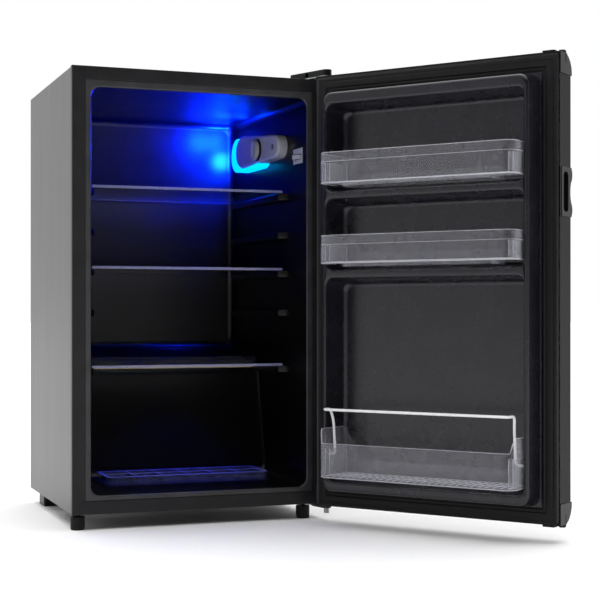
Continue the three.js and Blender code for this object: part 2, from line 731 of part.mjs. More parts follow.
function doorHandle() {
  const { width, bottom, top, bulge } = GRIP;
  const middle = (bottom + top) / 2;
  const face = DOOR.outer;
  const outline = new THREE.Shape();
  outline.moveTo(DOOR.inner - 6, bottom);
  outline.lineTo(DOOR.inner - 6, top);
  outline.lineTo(face, top);
  outline.quadraticCurveTo(face - bulge * 1.6, top - 14, face + 2, middle + 16);
  outline.quadraticCurveTo(face + 8, middle, face + 2, middle - 16);
  outline.quadraticCurveTo(face - bulge * 1.6, bottom + 14, face, bottom);
  const body = alongX(outline, 0, width, 4);
  const finger = alongX(rounded(face + 14, bottom + 8, DOOR.inner - 14, top - 8, 8), -1, width - 10);
  return cut(body, finger);
}

// ----------------------------------------------------------------- door racks
function rackOutline(inset, round) {
  const { left, right, taper, back, shoulder, front } = RACK;
  const [l, r] = [left + inset, right - inset];
  const shape = new THREE.Shape();
  shape.moveTo(l + taper, back + inset);
  shape.lineTo(r - taper, back + inset);
  shape.lineTo(r, shoulder);
  shape.absarc(r - round, front - inset - round, round, 0, Math.PI / 2);
  shape.absarc(l + round, front - inset - round, round, Math.PI / 2, Math.PI);
  shape.lineTo(l, shoulder);
  return shape;
}

function doorRack(bottom, top) {
  const { round, left, right, back, front } = RACK;
  const body = alongZ(rackOutline(0, round), bottom, top);
  const skirt = alongZ(rounded(left + 45, back + 14, right - 45, front - 10, 6), bottom - 5, bottom + 1);
  const inside = alongZ(rackOutline(RACK_WALL, round - RACK_WALL), bottom + RACK_WALL, top + 1);
  const lowBack = box(left + 30, back - 1, bottom + 22, right - 30, back + 5, top + 1);
  const skirtInside = box(left + 48, back + 17, bottom - 6, right - 48, front - 13, bottom - 0.5);
  return cut(join(body, skirt), inside, lowBack, skirtInside);
}

function bottleRack() {
  const { bottom, top, ends, round } = BOTTLE_RACK;
  const { left, right, back, front } = RACK;
  const body = alongZ(rackOutline(0, round), bottom, ends);
  const inside = alongZ(rackOutline(RACK_WALL, round - RACK_WALL), bottom + RACK_WALL, ends + 1);
  const openMiddle = box(left + 7, back - 1, top, right - 7, front + 1, ends + 1);
  const slope = polygon([[front - 12, ends + 1], [front + 1, top], [front + 1, ends + 1]]);
  const chamfer = alongX(slope, 0, WIDTH);
  const pivotHoles = alongX(disc(GUARD.pivotY, GUARD.pivotZ, GUARD.wire + 2 * GAP), 0, WIDTH, 8);
  return cut(body, inside, openMiddle, chamfer, pivotHoles);
}

function bottleGuard() {
  const { wire, barY, barZ, pivotY, pivotZ } = GUARD;
  const { bar, leg, stub } = GUARD_X;
  const half = [
    [stub, pivotY, pivotZ], [leg, pivotY, pivotZ], [leg, pivotY + 6, barZ - 22],
    [bar, pivotY + 12, barZ], [bar, barY, barZ],
  ];
  const mirrored = half.map(([x, y, z]) => [WIDTH - x, y, z]).reverse();
  return tube(bentRoute([...half, ...mirrored], 7), wire, 76, 4);
}

// ------------------------------------------------------------------- assembly
function buildCabinet(group) {
  add(group, 'outer_wrapper', outerWrapper(), BLACK_STEEL);
  add(group, 'front_frame', frontFrame(), BLACK_PLASTIC);
  add(group, 'rear_panel', rearPanel(), BLACK_STEEL);
  add(group, 'bottom_plate', bottomPlate(), BLACK_STEEL);
  add(group, 'inner_liner', innerLiner(), LINER_PLASTIC);
  add(group, 'insulation_foam', insulationFoam(), FOAM);
  add(group, 'evaporator_plate', evaporatorPlate(), ALUMINIUM);
  add(group, 'condenser_coil', condenserCoil(), COPPER);
  add(group, 'rear_foot_left', rearFoot(REAR_FOOT.inset), BLACK_PLASTIC);
  add(group, 'rear_foot_right', rearFoot(WIDTH - REAR_FOOT.inset - REAR_FOOT.width), BLACK_PLASTIC);
  add(group, 'front_foot_left', frontFoot(FOOT.left), BLACK_PLASTIC);
  add(group, 'front_foot_right', frontFoot(FOOT.right), BLACK_PLASTIC);
}

function buildMachineBay(group) {
  add(group, 'compressor_rail', compressorRail(), BARE_STEEL);
  add(group, 'compressor', compressor(), BLACK_STEEL);
  grommetPlaces().forEach((place, i) => {
    add(group, `compressor_grommet_${i + 1}`, grommet(place), RUBBER);
  });
  add(group, 'relay_cover', relayCover(), BLACK_PLASTIC);
  add(group, 'filter_drier', filterDrier(), COPPER);
  add(group, 'suction_pipe', suctionPipe(), COPPER);
  add(group, 'evaporation_tray', evaporationTray(), GREY_PLASTIC);
  add(group, 'cord_gland', cordGland(), BLACK_PLASTIC);
}

function buildHinges(group) {
  add(group, 'upper_hinge_bracket', upperHingeBracket(), BARE_STEEL);
  add(group, 'upper_hinge_cover', upperHingeCover(), BLACK_PLASTIC);
  add(group, 'upper_hinge_pin', upperHingePin(), BARE_STEEL);
  add(group, 'lower_hinge_bracket', lowerHingeBracket(), BLACK_STEEL);
  add(group, 'lower_hinge_pin', lowerHingePin(), BARE_STEEL);
  lowerScrewPlaces().forEach((place, i) => {
    add(group, `lower_hinge_screw_${i + 1}`, lowerHingeScrew(place), BARE_STEEL);
  });
}

function buildControls(group) {
  add(group, 'thermostat_housing', thermostatHousing(), GREY_PLASTIC);
  add(group, 'thermostat_body', thermostatBody(), BARE_STEEL);
  add(group, 'thermostat_knob', thermostatKnob(), GREY_PLASTIC);
  add(group, 'housing_screw', housingScrew(), BARE_STEEL);
  add(group, 'lamp_lens', lampLens(), LAMP_BLUE);
  add(group, 'lamp_board', lampBoard(), BOARD_GREEN);
  add(group, 'switch_plate', switchPlate(), GREY_PLASTIC);
  add(group, 'switch_lever', switchLever(), GREY_PLASTIC);
}

function buildShelves(group) {
  for (const [name, level] of Object.entries(SHELF_LEVELS)) {
    const back = name === 'lower' ? LOWER_SHELF_BACK : SHELF.back;
    add(group, `${name}_shelf`, glassShelf(level, back), GLASS);
    add(group, `${name}_shelf_trim`, rearTrim(level, back), CLEAR_PLASTIC);
  }
  add(group, 'cube_tray', cubeTray(), CLEAR_PLASTIC);
}

function buildDoor(group) {
  add(group, 'door_skin', doorSkin(), BLACK_STEEL);
  add(group, 'door_foam', doorFoam(), FOAM);
  add(group, 'door_liner', doorLiner(), LINER_PLASTIC);
  add(group, 'door_gasket', doorGasket(), RUBBER);
  add(group, 'door_top_cap', topCapForm(), BLACK_PLASTIC);
  add(group, 'door_bottom_cap', flipped(topCapForm()), BLACK_PLASTIC);
  add(group, 'door_handle', doorHandle(), BLACK_PLASTIC);
  add(group, 'upper_hinge_bush', hingeBush(), GREY_PLASTIC);
  add(group, 'lower_hinge_bush', flipped(hingeBush()), GREY_PLASTIC);
  add(group, 'top_hole_plug', holePlug(), BLACK_PLASTIC);
  add(group, 'bottom_hole_plug', flipped(toGeometry(toSolid(holePlug()))), BLACK_PLASTIC);
  for (const [name, [bottom, top]] of Object.entries(DOOR_RACKS)) {
    add(group, `${name}_rack`, doorRack(bottom, top), CLEAR_PLASTIC);
  }
  add(group, 'bottle_rack', bottleRack(), CLEAR_PLASTIC);
  add(group, 'bottle_guard', bottleGuard(), WHITE_WIRE);
}

// The door is drawn shut, then swung open about its hinge axis.
function hungDoor() {
  const shut = new THREE.Group();
  shut.position.set(-AXIS.x, -AXIS.y, 0);
  buildDoor(shut);
  const swing = new THREE.Group();
  swing.position.set(AXIS.x, AXIS.y, 0);
  swing.rotation.z = THREE.MathUtils.degToRad(OPEN_ANGLE);
  swing.add(shut);
  return swing;
}

const fridge = new THREE.Group();
buildCabinet(fridge);
buildMachineBay(fridge);
buildHinges(fridge);
buildControls(fridge);
buildShelves(fridge);
fridge.add(hungDoor());
fridge.updateMatrixWorld(true);

const extent = new THREE.Box3().setFromObject(fridge, true);
const footprint = extent.getCenter(new THREE.Vector3());
fridge.position.set(-footprint.x, -footprint.y, -extent.min.z);
fridge.updateMatrixWorld(true);

export default fridge;
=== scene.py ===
"""Looks of the mini fridge: a black bar fridge standing open, lit blue inside.

Sizes are millimetres from the cabinet's front lower left corner, as in the CAD, and are
turned into the frame's metres as each piece is made. Door pieces are drawn with the door
shut and hung on its hinge at the open angle.
"""

import json
import math

import bmesh
import bpy
from mathutils import Matrix, Vector


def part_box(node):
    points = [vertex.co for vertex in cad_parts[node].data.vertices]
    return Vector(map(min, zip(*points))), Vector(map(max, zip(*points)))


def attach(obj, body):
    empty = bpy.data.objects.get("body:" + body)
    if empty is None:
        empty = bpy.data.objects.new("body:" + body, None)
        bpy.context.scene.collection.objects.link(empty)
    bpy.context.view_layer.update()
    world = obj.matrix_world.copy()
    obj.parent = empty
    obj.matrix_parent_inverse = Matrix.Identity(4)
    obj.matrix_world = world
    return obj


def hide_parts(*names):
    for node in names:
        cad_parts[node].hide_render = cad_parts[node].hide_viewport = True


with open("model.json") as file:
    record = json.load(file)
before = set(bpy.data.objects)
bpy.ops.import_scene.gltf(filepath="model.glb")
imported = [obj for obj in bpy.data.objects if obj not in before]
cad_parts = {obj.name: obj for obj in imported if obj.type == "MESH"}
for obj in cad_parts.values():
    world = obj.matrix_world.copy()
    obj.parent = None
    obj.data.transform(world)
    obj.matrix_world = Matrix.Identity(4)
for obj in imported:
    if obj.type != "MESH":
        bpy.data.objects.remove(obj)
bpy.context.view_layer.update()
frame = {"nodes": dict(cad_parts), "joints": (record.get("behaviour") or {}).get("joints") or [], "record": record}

# ------------------------------------------------------------------ places and sizes
DOOR_BODIES = ("door", "upper_rack", "middle_rack", "bottle_rack", "bottle_guard")
LAMPLIT = bpy.data.collections.new("lit_by_the_lamp")
MM = 0.001
BLUE = (0.0004, 0.014, 1.0)
JOINTS = {joint["name"]: joint for joint in frame["joints"]}
BODY_OF = {node: body for body, nodes in frame["record"]["behaviour"]["bodies"].items()
           for node in nodes}
SLOT_OF = {row["node"]: row["material_slot"] for row in frame["record"]["subparts"]}

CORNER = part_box("front_frame")[0]
WIDTH = (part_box("front_frame")[1].x - CORNER.x) / MM
HEIGHT = (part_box("front_frame")[1].z - CORNER.z) / MM
MIDDLE = WIDTH / 2
FRAME_DEPTH = 12
BAND = 24
OPENING = (35, 33, WIDTH - 35, 763)
BACK_WALL = (53.5, 38, 426.5, 759)
CAVITY_DEPTH = 394
LIP_BANDS = 8
LINER_WALL = 1.9
HUMP = [(205, 36.6), (252, 256), (CAVITY_DEPTH, 289)]
RIB_LEVELS = [591, 516.5, 441.5, 366.5, 257.5]
RIB = {"front": 88, "back": 380, "reach": 62, "height": 13}

HINGE_NOTCH = {"left": 429.5, "back": 48.5, "floor": 798}
HINGE = Vector(JOINTS["door_hinge"]["pos_m"])
OPEN_ANGLE = math.radians(-JOINTS["door_hinge"]["range_deg"][0])
DOOR_FACE = -6
FLANGE = (2.9, 6.3, WIDTH - 2.9, 794.7)
DYKE = {"sides": (37.5, 35.5, 442, 760.5), "crest": 38, "lean": 3.5, "round": 16}
POCKET = {"left": 46, "right": 434, "back": -18, "lean": 6}
POCKETS = [(54, 423), (435, 566), (578, 738)]
RACK = {"left": 50, "right": 430, "taper": 4, "back": -14, "shoulder": 45, "front": 74, "round": 20}
RACK_WALL = 2.2
BOTTLE_RACK = {"bottom": 65, "top": 127, "ends": 152}
HANDLE_RECESS = {"side": 34.34, "front": -54, "back": -12, "low": 522, "high": 606, "wall": 0.2}

DRAFT = math.atan2(OPENING[2] - BACK_WALL[2], CAVITY_DEPTH)
HOUSING = {"front": (115, 685, 22.5), "back": (262, 688, 33), "thin": 20, "thick": 33}
KNOB = {"y": 189, "z": 685, "radius": 20, "from": -28.5, "to": -39}
HOUSING_START = HOUSING["front"][0] - HOUSING["front"][2]
HOUSING_END = HOUSING["back"][0] + HOUSING["back"][2]
HOUSING_TILT = math.atan2(HOUSING["thick"] - HOUSING["thin"], HOUSING_END - HOUSING_START)
SCREW = (120, 684)

# Lamps are placed and aimed from the right wall: name, place and power in watts.
LAMPS = (("lamp_glow", (-13, 345, 688), 48), ("lamp_upper_glow", (-50, 290, 735), 22),
         ("lamp_rear_glow", (-11, 290, 735), 22))
LAMP_AIM = (-100, 45, 5)
CAMERA = {"place": (-498.1, -2478.2, 357.8), "pitch": 90.04, "heading": -20.176, "lens": 84.54,
          "shift": (0.0159, 0.0215)}
CREASE = 38

CABINET = Matrix.Translation(CORNER) @ Matrix.Scale(MM, 4)
SWING = Matrix.Translation(HINGE) @ Matrix.Rotation(OPEN_ANGLE, 4, "Z") @ Matrix.Translation(-HINGE)
DOOR = SWING @ CABINET
RIGHT_WALL = CABINET @ Matrix.Translation((OPENING[2], 0, 0)) @ Matrix.Rotation(DRAFT, 4, "Z")
# Turns the axis Z so that it points from the right wall into the cavity.
WALL_OUT = Matrix.Rotation(-math.pi / 2, 4, "Y")


def mix(a, b, t):
    return a + (b - a) * t


def in_cabinet(node):
    """A CAD node's lowest and highest corners in millimetres from the cabinet's corner."""
    return [[(value - start) / MM for value, start in zip(corner, CORNER)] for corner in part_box(node)]


# ------------------------------------------------------------------------- materials
def surface(name, color, roughness, metallic=0.0, spread=0.25, scale=60, stretch=(1, 1, 1),
            bump=0.05, grain=900, specular=0.5, wear=0.06):
    """Plain-looking material whose tone, roughness and relief all vary a little over the surface."""
    material = bpy.data.materials.new(name)
    material.use_nodes = True
    nodes, links = material.node_tree.nodes, material.node_tree.links
    shader = nodes["Principled BSDF"]
    shader.inputs["Metallic"].default_value = metallic
    shader.inputs["Specular IOR Level"].default_value = specular
    place = nodes.new("ShaderNodeTexCoord")
    stretched = nodes.new("ShaderNodeMapping")
    stretched.inputs["Scale"].default_value = stretch
    links.new(place.outputs["Object"], stretched.inputs["Vector"])
    cloud = nodes.new("ShaderNodeTexNoise")
    cloud.inputs["Scale"].default_value = scale
    cloud.inputs["Detail"].default_value = 4
    links.new(stretched.outputs["Vector"], cloud.inputs["Vector"])
    tone = nodes.new("ShaderNodeValToRGB")
    dark, light = tone.color_ramp.elements
    dark.position, light.position = 0.3, 0.7
    dark.color = (*[c * (1 - spread) for c in color], 1)
    light.color = (*[min(1, c * (1 + spread)) for c in color], 1)
    links.new(cloud.outputs["Fac"], tone.inputs["Fac"])
    links.new(tone.outputs["Color"], shader.inputs["Base Color"])
    polish = nodes.new("ShaderNodeMapRange")
    polish.inputs["To Min"].default_value = max(0.02, roughness - wear)
    polish.inputs["To Max"].default_value = roughness + wear
    links.new(cloud.outputs["Fac"], polish.inputs["Value"])
    links.new(polish.outputs["Result"], shader.inputs["Roughness"])
    fine = nodes.new("ShaderNodeTexNoise")
    fine.inputs["Scale"].default_value = grain
    fine.inputs["Detail"].default_value = 2
    links.new(stretched.outputs["Vector"], fine.inputs["Vector"])
    relief = nodes.new("ShaderNodeBump")
    relief.inputs["Strength"].default_value = bump
    relief.inputs["Distance"].default_value = 0.0004
    links.new(fine.outputs["Fac"], relief.inputs["Height"])
    links.new(relief.outputs["Normal"], shader.inputs["Normal"])
    return material


def clear(name, color, roughness, ior):
    """Transparent glass with a faint waviness."""
    material = surface(name, color, roughness, spread=0.02, scale=25, bump=0.06, grain=160, wear=0.03)
    shader = material.node_tree.nodes["Principled BSDF"]
    shader.inputs["Transmission Weight"].default_value = 1
    shader.inputs["IOR"].default_value = ior
    return material


def film(name, color, faint, solid, roughness=0.12):
    """Thin clear plastic: nearly unseen face on, milky where it is seen edge on."""
    material = surface(name, color, roughness, spread=0.03, scale=12, bump=0.15, grain=9, wear=0.03)
    nodes, links = material.node_tree.nodes, material.node_tree.links
    turn = nodes.new("ShaderNodeLayerWeight")
    turn.inputs["Blend"].default_value = 0.35
    cover = nodes.new("ShaderNodeMapRange")
    cover.inputs["To Min"].default_value = faint
    cover.inputs["To Max"].default_value = solid
    links.new(turn.outputs["Facing"], cover.inputs["Value"])
    links.new(cover.outputs["Result"], nodes["Principled BSDF"].inputs["Alpha"])
    return material


def glowing(name, color, strength):
    """Plastic that shines by itself."""
    material = surface(name, color, 0.25, spread=0.05, scale=90, bump=0.03)
    shader = material.node_tree.nodes["Principled BSDF"]
    shader.inputs["Emission Color"].default_value = (*color, 1)
    shader.inputs["Emission Strength"].default_value = strength
    return material


PAINT = surface("black_paint", (0.034, 0.031, 0.034), 0.36, spread=0.1, scale=14, stretch=(1, 6, 0.25),
                bump=0.10, grain=420, specular=0.5, wear=0.05)
SEMI_GLOSS = surface("black_moulding", (0.006, 0.006, 0.007), 0.36, bump=0.08, specular=0.18)
LINER = surface("black_liner", (0.0012, 0.0012, 0.0016), 0.31, scale=22, bump=0.04, grain=240,
                specular=0.27, wear=0.05)
FRAME = surface("black_frame", (0.011, 0.011, 0.0125), 0.42, scale=30, bump=0.06, specular=0.3)
DOOR_PAINT = surface("black_door_paint", (0.013, 0.0115, 0.012), 0.5, spread=0.1, scale=14,
                     stretch=(1, 6, 0.25), bump=0.08, grain=420, specular=0.1, wear=0.05)
DOOR_LINER = surface("black_door_liner", (0.0105, 0.0105, 0.0155), 0.27, scale=18, bump=0.04, grain=500,
                     specular=0.42, wear=0.04)
RUBBER = surface("seal_rubber", (0.006, 0.006, 0.007), 0.5, bump=0.12, grain=1300, specular=0.2)
FOAM = surface("rigid_foam", (0.75, 0.62, 0.32), 0.85, scale=140, bump=0.5, grain=700, specular=0.2)
STEEL = surface("plated_steel", (0.42, 0.43, 0.45), 0.38, metallic=1, spread=0.14, bump=0.02, grain=260)
ALUMINIUM = surface("rolled_aluminium", (0.72, 0.74, 0.76), 0.4, metallic=1, spread=0.1, stretch=(1, 1, 12))
COPPER = surface("drawn_copper", (0.62, 0.3, 0.16), 0.3, metallic=1, spread=0.3, scale=45)
BLACK_IRON = surface("pump_enamel", (0.02, 0.02, 0.022), 0.3, scale=80, bump=0.15, grain=600)
WIRE = surface("white_coating", (0.86, 0.86, 0.87), 0.3, spread=0.04, scale=120, bump=0.04)
GREY = surface("grey_moulding", (0.36, 0.37, 0.42), 0.42, spread=0.08, scale=35, bump=0.08, grain=1100)
BOARD = surface("circuit_board", (0.03, 0.17, 0.07), 0.4, scale=260, spread=0.5, bump=0.1)
MARK = surface("pale_mark", (0.75, 0.75, 0.77), 0.5, spread=0.05)
GLASS = clear("shelf_glass", (0.86, 0.93, 0.95), 0.05, 1.5)
# Frosted edge strip of the shelves: pale like ground glass, tinted lavender as painted blue lamp light.
GROUND_EDGE_BLUE_GLOW = surface("ground_edge_painted_blue_glow", (0.5, 0.47, 0.72), 0.5, spread=0.1, scale=200, bump=0.2)
CLEAR = film("clear_styrene", (0.58, 0.58, 0.65), 0.045, 0.5)
TRAY = film("tray_plastic", (0.05, 0.055, 0.08), 0.12, 0.5, roughness=0.1)
# Bluer, more solid copy of the tray's plastic for its top rims: painted highlight of the blue lamp light.
TRAY_RIM_HIGHLIGHT = film("tray_rim_painted_highlight", (0.3, 0.34, 0.5), 0.6, 0.9)
# Lighter copy of the liner for the lip round the opening: painted highlight; the rest of the liner is the darker,
# shaded copy.
LIP_HIGHLIGHT = surface("black_lip_painted_highlight", (0.036, 0.036, 0.04), 0.36, scale=30, bump=0.04, specular=0.4)
# Whiter, more solid copy of the clear plastic for the rack edges and ribs: painted highlight.
EDGE_HIGHLIGHT = film("styrene_painted_edge_highlight", (0.85, 0.85, 0.9), 0.4, 0.85)
LAMP = glowing("blue_lamp", (0.0, 0.36, 1.0), 2.2)

SLOT_MATERIAL = {
    "black_steel": PAINT, "black_plastic": SEMI_GLOSS, "liner_plastic": LINER, "rubber": RUBBER,
    "foam": FOAM, "bare_steel": STEEL, "aluminium": ALUMINIUM, "copper": COPPER, "glass": GLASS,
    "clear_plastic": CLEAR, "white_wire": WIRE, "grey_plastic": GREY, "lamp_lens": LAMP,
    "circuit_board": BOARD,
}


# --------------------------------------------------------------------- mesh helpers
def soften(bm, limit):
    """Smooth shading that breaks at edges sharper than the limit; faces of many corners stay flat."""
    for face in bm.faces:
        face.smooth = len(face.verts) <= 4
    for edge in bm.edges:
        sharp = len(edge.link_faces) == 2 and edge.calc_face_angle(0) > math.radians(limit)
        edge.smooth = not sharp


def piece(name, bm, place, material, body, stands_for=(), limit=CREASE, wall=0, hollow=False):
    """Turns a bmesh drawn in millimetres into a piece that rides on a CAD body.

    A single-skin moulding is given its wall on the side away from its normals; a hollow one
    is seen from the inside.
    """
    bmesh.ops.recalc_face_normals(bm, faces=bm.faces)
    if hollow:
        bmesh.ops.reverse_faces(bm, faces=bm.faces)
    soften(bm, limit)
    mesh = bpy.data.meshes.new(name)
    bm.to_mesh(mesh)
    bm.free()
    mesh.transform(place)
    if place.determinant() < 0:
        mesh.flip_normals()
    for finish in material if isinstance(material, tuple) else (material,):
        mesh.materials.append(finish)
    made = bpy.data.objects.new(name, mesh)
    bpy.context.scene.collection.objects.link(made)
    if wall:
        skin = made.modifiers.new("wall", "SOLIDIFY")
        skin.thickness = wall * MM
        skin.offset = -1
    shading = made.modifiers.new("shading", "WEIGHTED_NORMAL")
    shading.keep_sharp = True
    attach(made, body)
    if body not in DOOR_BODIES:
        LAMPLIT.objects.link(made)
    if stands_for:
        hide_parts(*stands_for)
    return made


def loft(bm, rings, cyclic=False, start=False, end=False):
    """Skin through rings of equal length; start and end close it with a face."""
    made = [[bm.verts.new(point) for point in ring] for ring in rings]
    pairs = list(zip(made, made[1:])) + ([(made[-1], made[0])] if cyclic else [])
    for low, high in pairs:
        for i in range(len(low)):
            j = (i + 1) % len(low)
            bm.faces.new((low[i], low[j], high[j], high[i]))
    if start:
        bm.faces.new(made[0])
    if end:
        bm.faces.new(made[-1])
    return made


def arc(a, b, radius, start, stop, steps):
    """Points on a circle, from one angle to another in degrees."""
    angles = [math.radians(mix(start, stop, i / steps)) for i in range(steps + 1)]
    return [(a + radius * math.cos(t), b + radius * math.sin(t)) for t in angles]


def rounded(a0, b0, a1, b1, radius, steps=6):
    """Rectangle with round corners, anticlockwise."""
    r = max(radius, 0.05)
    return (arc(a1 - r, b0 + r, r, -90, 0, steps) + arc(a1 - r, b1 - r, r, 0, 90, steps)
            + arc(a0 + r, b1 - r, r, 90, 180, steps) + arc(a0 + r, b0 + r, r, 180, 270, steps))


def inset_sides(sides, inset):
    a0, b0, a1, b1 = sides
    return a0 + inset, b0 + inset, a1 - inset, b1 - inset


def upright_ring(sides, inset, y, radius):
    """Rounded rectangle standing in X and Z, at depth y."""
    return [(x, y, z) for x, z in rounded(*inset_sides(sides, inset), radius)]


def quarter(steps):
    """Cosine and sine at even steps round a quarter circle, both ends included."""
    angles = [math.pi / 2 * i / steps for i in range(steps + 1)]
    return [(math.cos(t), math.sin(t)) for t in angles]


def revolve(bm, profile, sides=32, flutes=0, depth=0):
    """Body of revolution about Z from (radius, height) pairs; flutes are cut into its widest part."""
    widest = max(radius for radius, _ in profile)
    rings = []
    for radius, height in profile:
        ring = []
        for i in range(sides):
            angle = 2 * math.pi * i / sides
            fluted = flutes and radius > 0.9 * widest
            cut = depth * (0.5 + 0.5 * math.cos(flutes * angle)) if fluted else 0
            ring.append(((radius - cut) * math.cos(angle), (radius - cut) * math.sin(angle), height))
        rings.append(ring)
    loft(bm, rings, start=True, end=True)


def slab(bm, outline, z0, z1, edge=0.0, segments=2):
    """Outline in X and Y drawn up Z, with its rims rounded."""
    low = [bm.verts.new((x, y, z0)) for x, y in outline]
    high = [bm.verts.new((x, y, z1)) for x, y in outline]
    count = len(outline)
    for i in range(count):
        j = (i + 1) % count
        bm.faces.new((low[i], low[j], high[j], high[i]))
    caps = [bm.faces.new(low[::-1]), bm.faces.new(high)]
    if edge:
        rims = list({e for cap in caps for e in cap.edges})
        bmesh.ops.bevel(bm, geom=rims, offset=edge, segments=segments, profile=0.5, affect="EDGES",
                        clamp_overlap=True)


def block(bm, x0, y0, z0, x1, y1, z1, edge=0.6):
    """Rectangular block with every edge rounded."""
    plan = ((x0, y0), (x1, y0), (x1, y1), (x0, y1))
    corners = [bm.verts.new((x, y, z)) for z in (z0, z1) for x, y in plan]
    quads = [(3, 2, 1, 0), (4, 5, 6, 7), (0, 1, 5, 4), (1, 2, 6, 5), (2, 3, 7, 6), (3, 0, 4, 7)]
    faces = [bm.faces.new([corners[i] for i in quad]) for quad in quads]
    if edge:
        rims = list({e for face in faces for e in face.edges})
        bmesh.ops.bevel(bm, geom=rims, offset=edge, segments=2, profile=0.5, affect="EDGES")


def refined(node, edge, material=None):
    """A CAD node's own form with its flats merged and its sharp edges rounded."""
    bm = bmesh.new()
    bm.from_mesh(frame["nodes"][node].data)
    bmesh.ops.remove_doubles(bm, verts=bm.verts, dist=2e-6)
    bmesh.ops.dissolve_limit(bm, angle_limit=math.radians(1), verts=bm.verts, edges=bm.edges)
    if edge:
        crease = math.radians(CREASE)
        sharp = [e for e in bm.edges if len(e.link_faces) == 2 and e.calc_face_angle(0) > crease]
        bmesh.ops.bevel(bm, geom=sharp, offset=edge * MM, segments=2, profile=0.5, affect="EDGES",
                        clamp_overlap=True)
    slot = SLOT_OF[node]
    return piece(f"{node}_shape", bm, Matrix.Identity(4), material or SLOT_MATERIAL[slot],
                 BODY_OF[node], [node])


# --------------------------------------------------------------------------- cabinet
def front_frame():
    """Four bars meeting in mitres round the opening."""
    section = [(0, FRAME_DEPTH), (0, 1.4), (0.4, 0.4), (1.4, 0), (BAND - 1.6, 0), (BAND - 0.5, 0.4),
               (BAND, 1.4), (BAND, 2.2), (2, 2.2), (2, FRAME_DEPTH)]
    ways = ((1, 0), (0, 1), (-1, 0), (0, -1))
    gap = 0.18
    bm = bmesh.new()
    for side in range(4):
        rings = []
        for end in (0, 1):
            ring = []
            for u, y in section:
                corners = [(u, u), (WIDTH - u, u), (WIDTH - u, HEIGHT - u), (u, HEIGHT - u)]
                x, z = corners[(side + end) % 4]
                step = Vector(ways[side]) * (gap if end == 0 else -gap)
                ring.append((x + step.x, y, z + step.y))
            rings.append(ring)
        loft(bm, rings, start=True, end=True)
    piece("front_frame_bars", bm, CABINET, FRAME, "cabinet", ["front_frame"])


def hinge_seat():
    """Plate closing the wrapper's notch under the upper hinge."""
    left, back, floor = HINGE_NOTCH["left"], HINGE_NOTCH["back"], HINGE_NOTCH["floor"]
    gap, thickness = 0.3, 0.7
    bm = bmesh.new()
    block(bm, left + gap, FRAME_DEPTH + 0.4, floor, WIDTH - 1.2, back - gap, floor + thickness, edge=0.1)
    piece("front_frame_hinge_seat", bm, CABINET, FRAME, "cabinet")


def handle_return():
    """Side wall of the recess the handle sits in."""
    recess = HANDLE_RECESS
    bm = bmesh.new()
    block(bm, recess["side"], recess["front"], recess["low"], recess["side"] + recess["wall"],
          recess["back"], recess["high"], edge=0)
    piece("door_handle_return", bm, DOOR, SEMI_GLOSS, "door")


def cavity_floor():
    """Depth and height pairs along the floor and up over the compressor hump, with round bends."""
    line = [(3.5, OPENING[1]), *HUMP]
    return [tuple(point) for point in round_bends(line, 20, 6)]


def cavity_ring(y, floor, inset=0.0, radius=14):
    """Section of the cavity at depth y, its walls drawing in towards the back."""
    t = y / CAVITY_DEPTH
    sides = [mix(a, b, t) for a, b in zip(OPENING, BACK_WALL)]
    sides[1] = floor
    return upright_ring(sides, inset, y, radius)


def inner_liner():
    """Formed cavity wall: a lip over the frame, the tapering sides, and the back over the hump."""
    edge = (BAND + 0.3, BAND + 0.3, WIDTH - BAND - 0.3, HEIGHT - BAND - 0.3)
    rings = [upright_ring(edge, -12, 3.2, 2), upright_ring(edge, 0, 3.0, 2),
             upright_ring(edge, 0, 1.1, 2), upright_ring(edge, 0.5, 0.8, 2)]
    lip = 3.0
    for cosine, sine in quarter(5):
        rings.append(upright_ring(OPENING, lip * (sine - 1), 0.8 + lip * (1 - cosine), 14 + lip))
    bend = 12
    last = CAVITY_DEPTH - bend
    (_, _), (crest_y, crest_z), (_, back_z) = HUMP
    along = (last - crest_y) / (CAVITY_DEPTH - crest_y)
    depths = cavity_floor()[:-1] + [(last, mix(crest_z, back_z, along))]
    rings += [cavity_ring(y, floor) for y, floor in depths]
    for cosine, sine in quarter(5)[1:]:
        rings.append(cavity_ring(last + bend * sine, back_z - 1, bend * (1 - cosine)))
    bm = bmesh.new()
    around = len(loft(bm, rings, end=True)[0])
    bm.faces.ensure_lookup_table()
    # The lip bands take the lighter copy of the liner, a painted highlight round the opening.
    for face in bm.faces[:around * LIP_BANDS]:
        face.material_index = 1
    piece("inner_liner_shell", bm, CABINET, (LINER, LIP_HIGHLIGHT), "cabinet", ["inner_liner"],
          limit=50, wall=LINER_WALL, hollow=True)


def shelf_ribs():
    """Moulded ribs the shelves rest on, in pairs; the lowest pair stops short of the hump."""
    front, reach = RIB["front"], RIB["reach"]
    hump_start, hump_top = HUMP[1][0], HUMP[-1][1]
    root = 38
    bm = bmesh.new()
    for level in RIB_LEVELS:
        back = hump_start - 6 if level < hump_top else RIB["back"]
        outline = [(root, front), (root + 6, front), (root + 14, front + 2.5), (root + 20, front + 7),
                   (reach, front + 14), (reach, back - 6), (reach - 6, back), (root + 10, back),
                   (root + 6, back - 100)]
        mirrored = [(WIDTH - x, y) for x, y in reversed(outline)]
        top = level - 0.3
        for side in (outline, mirrored):
            slab(bm, side, top - RIB["height"], top, edge=2.5, segments=3)
    piece("inner_liner_shelf_ribs", bm, CABINET, LINER, "cabinet", ["inner_liner"], limit=50)


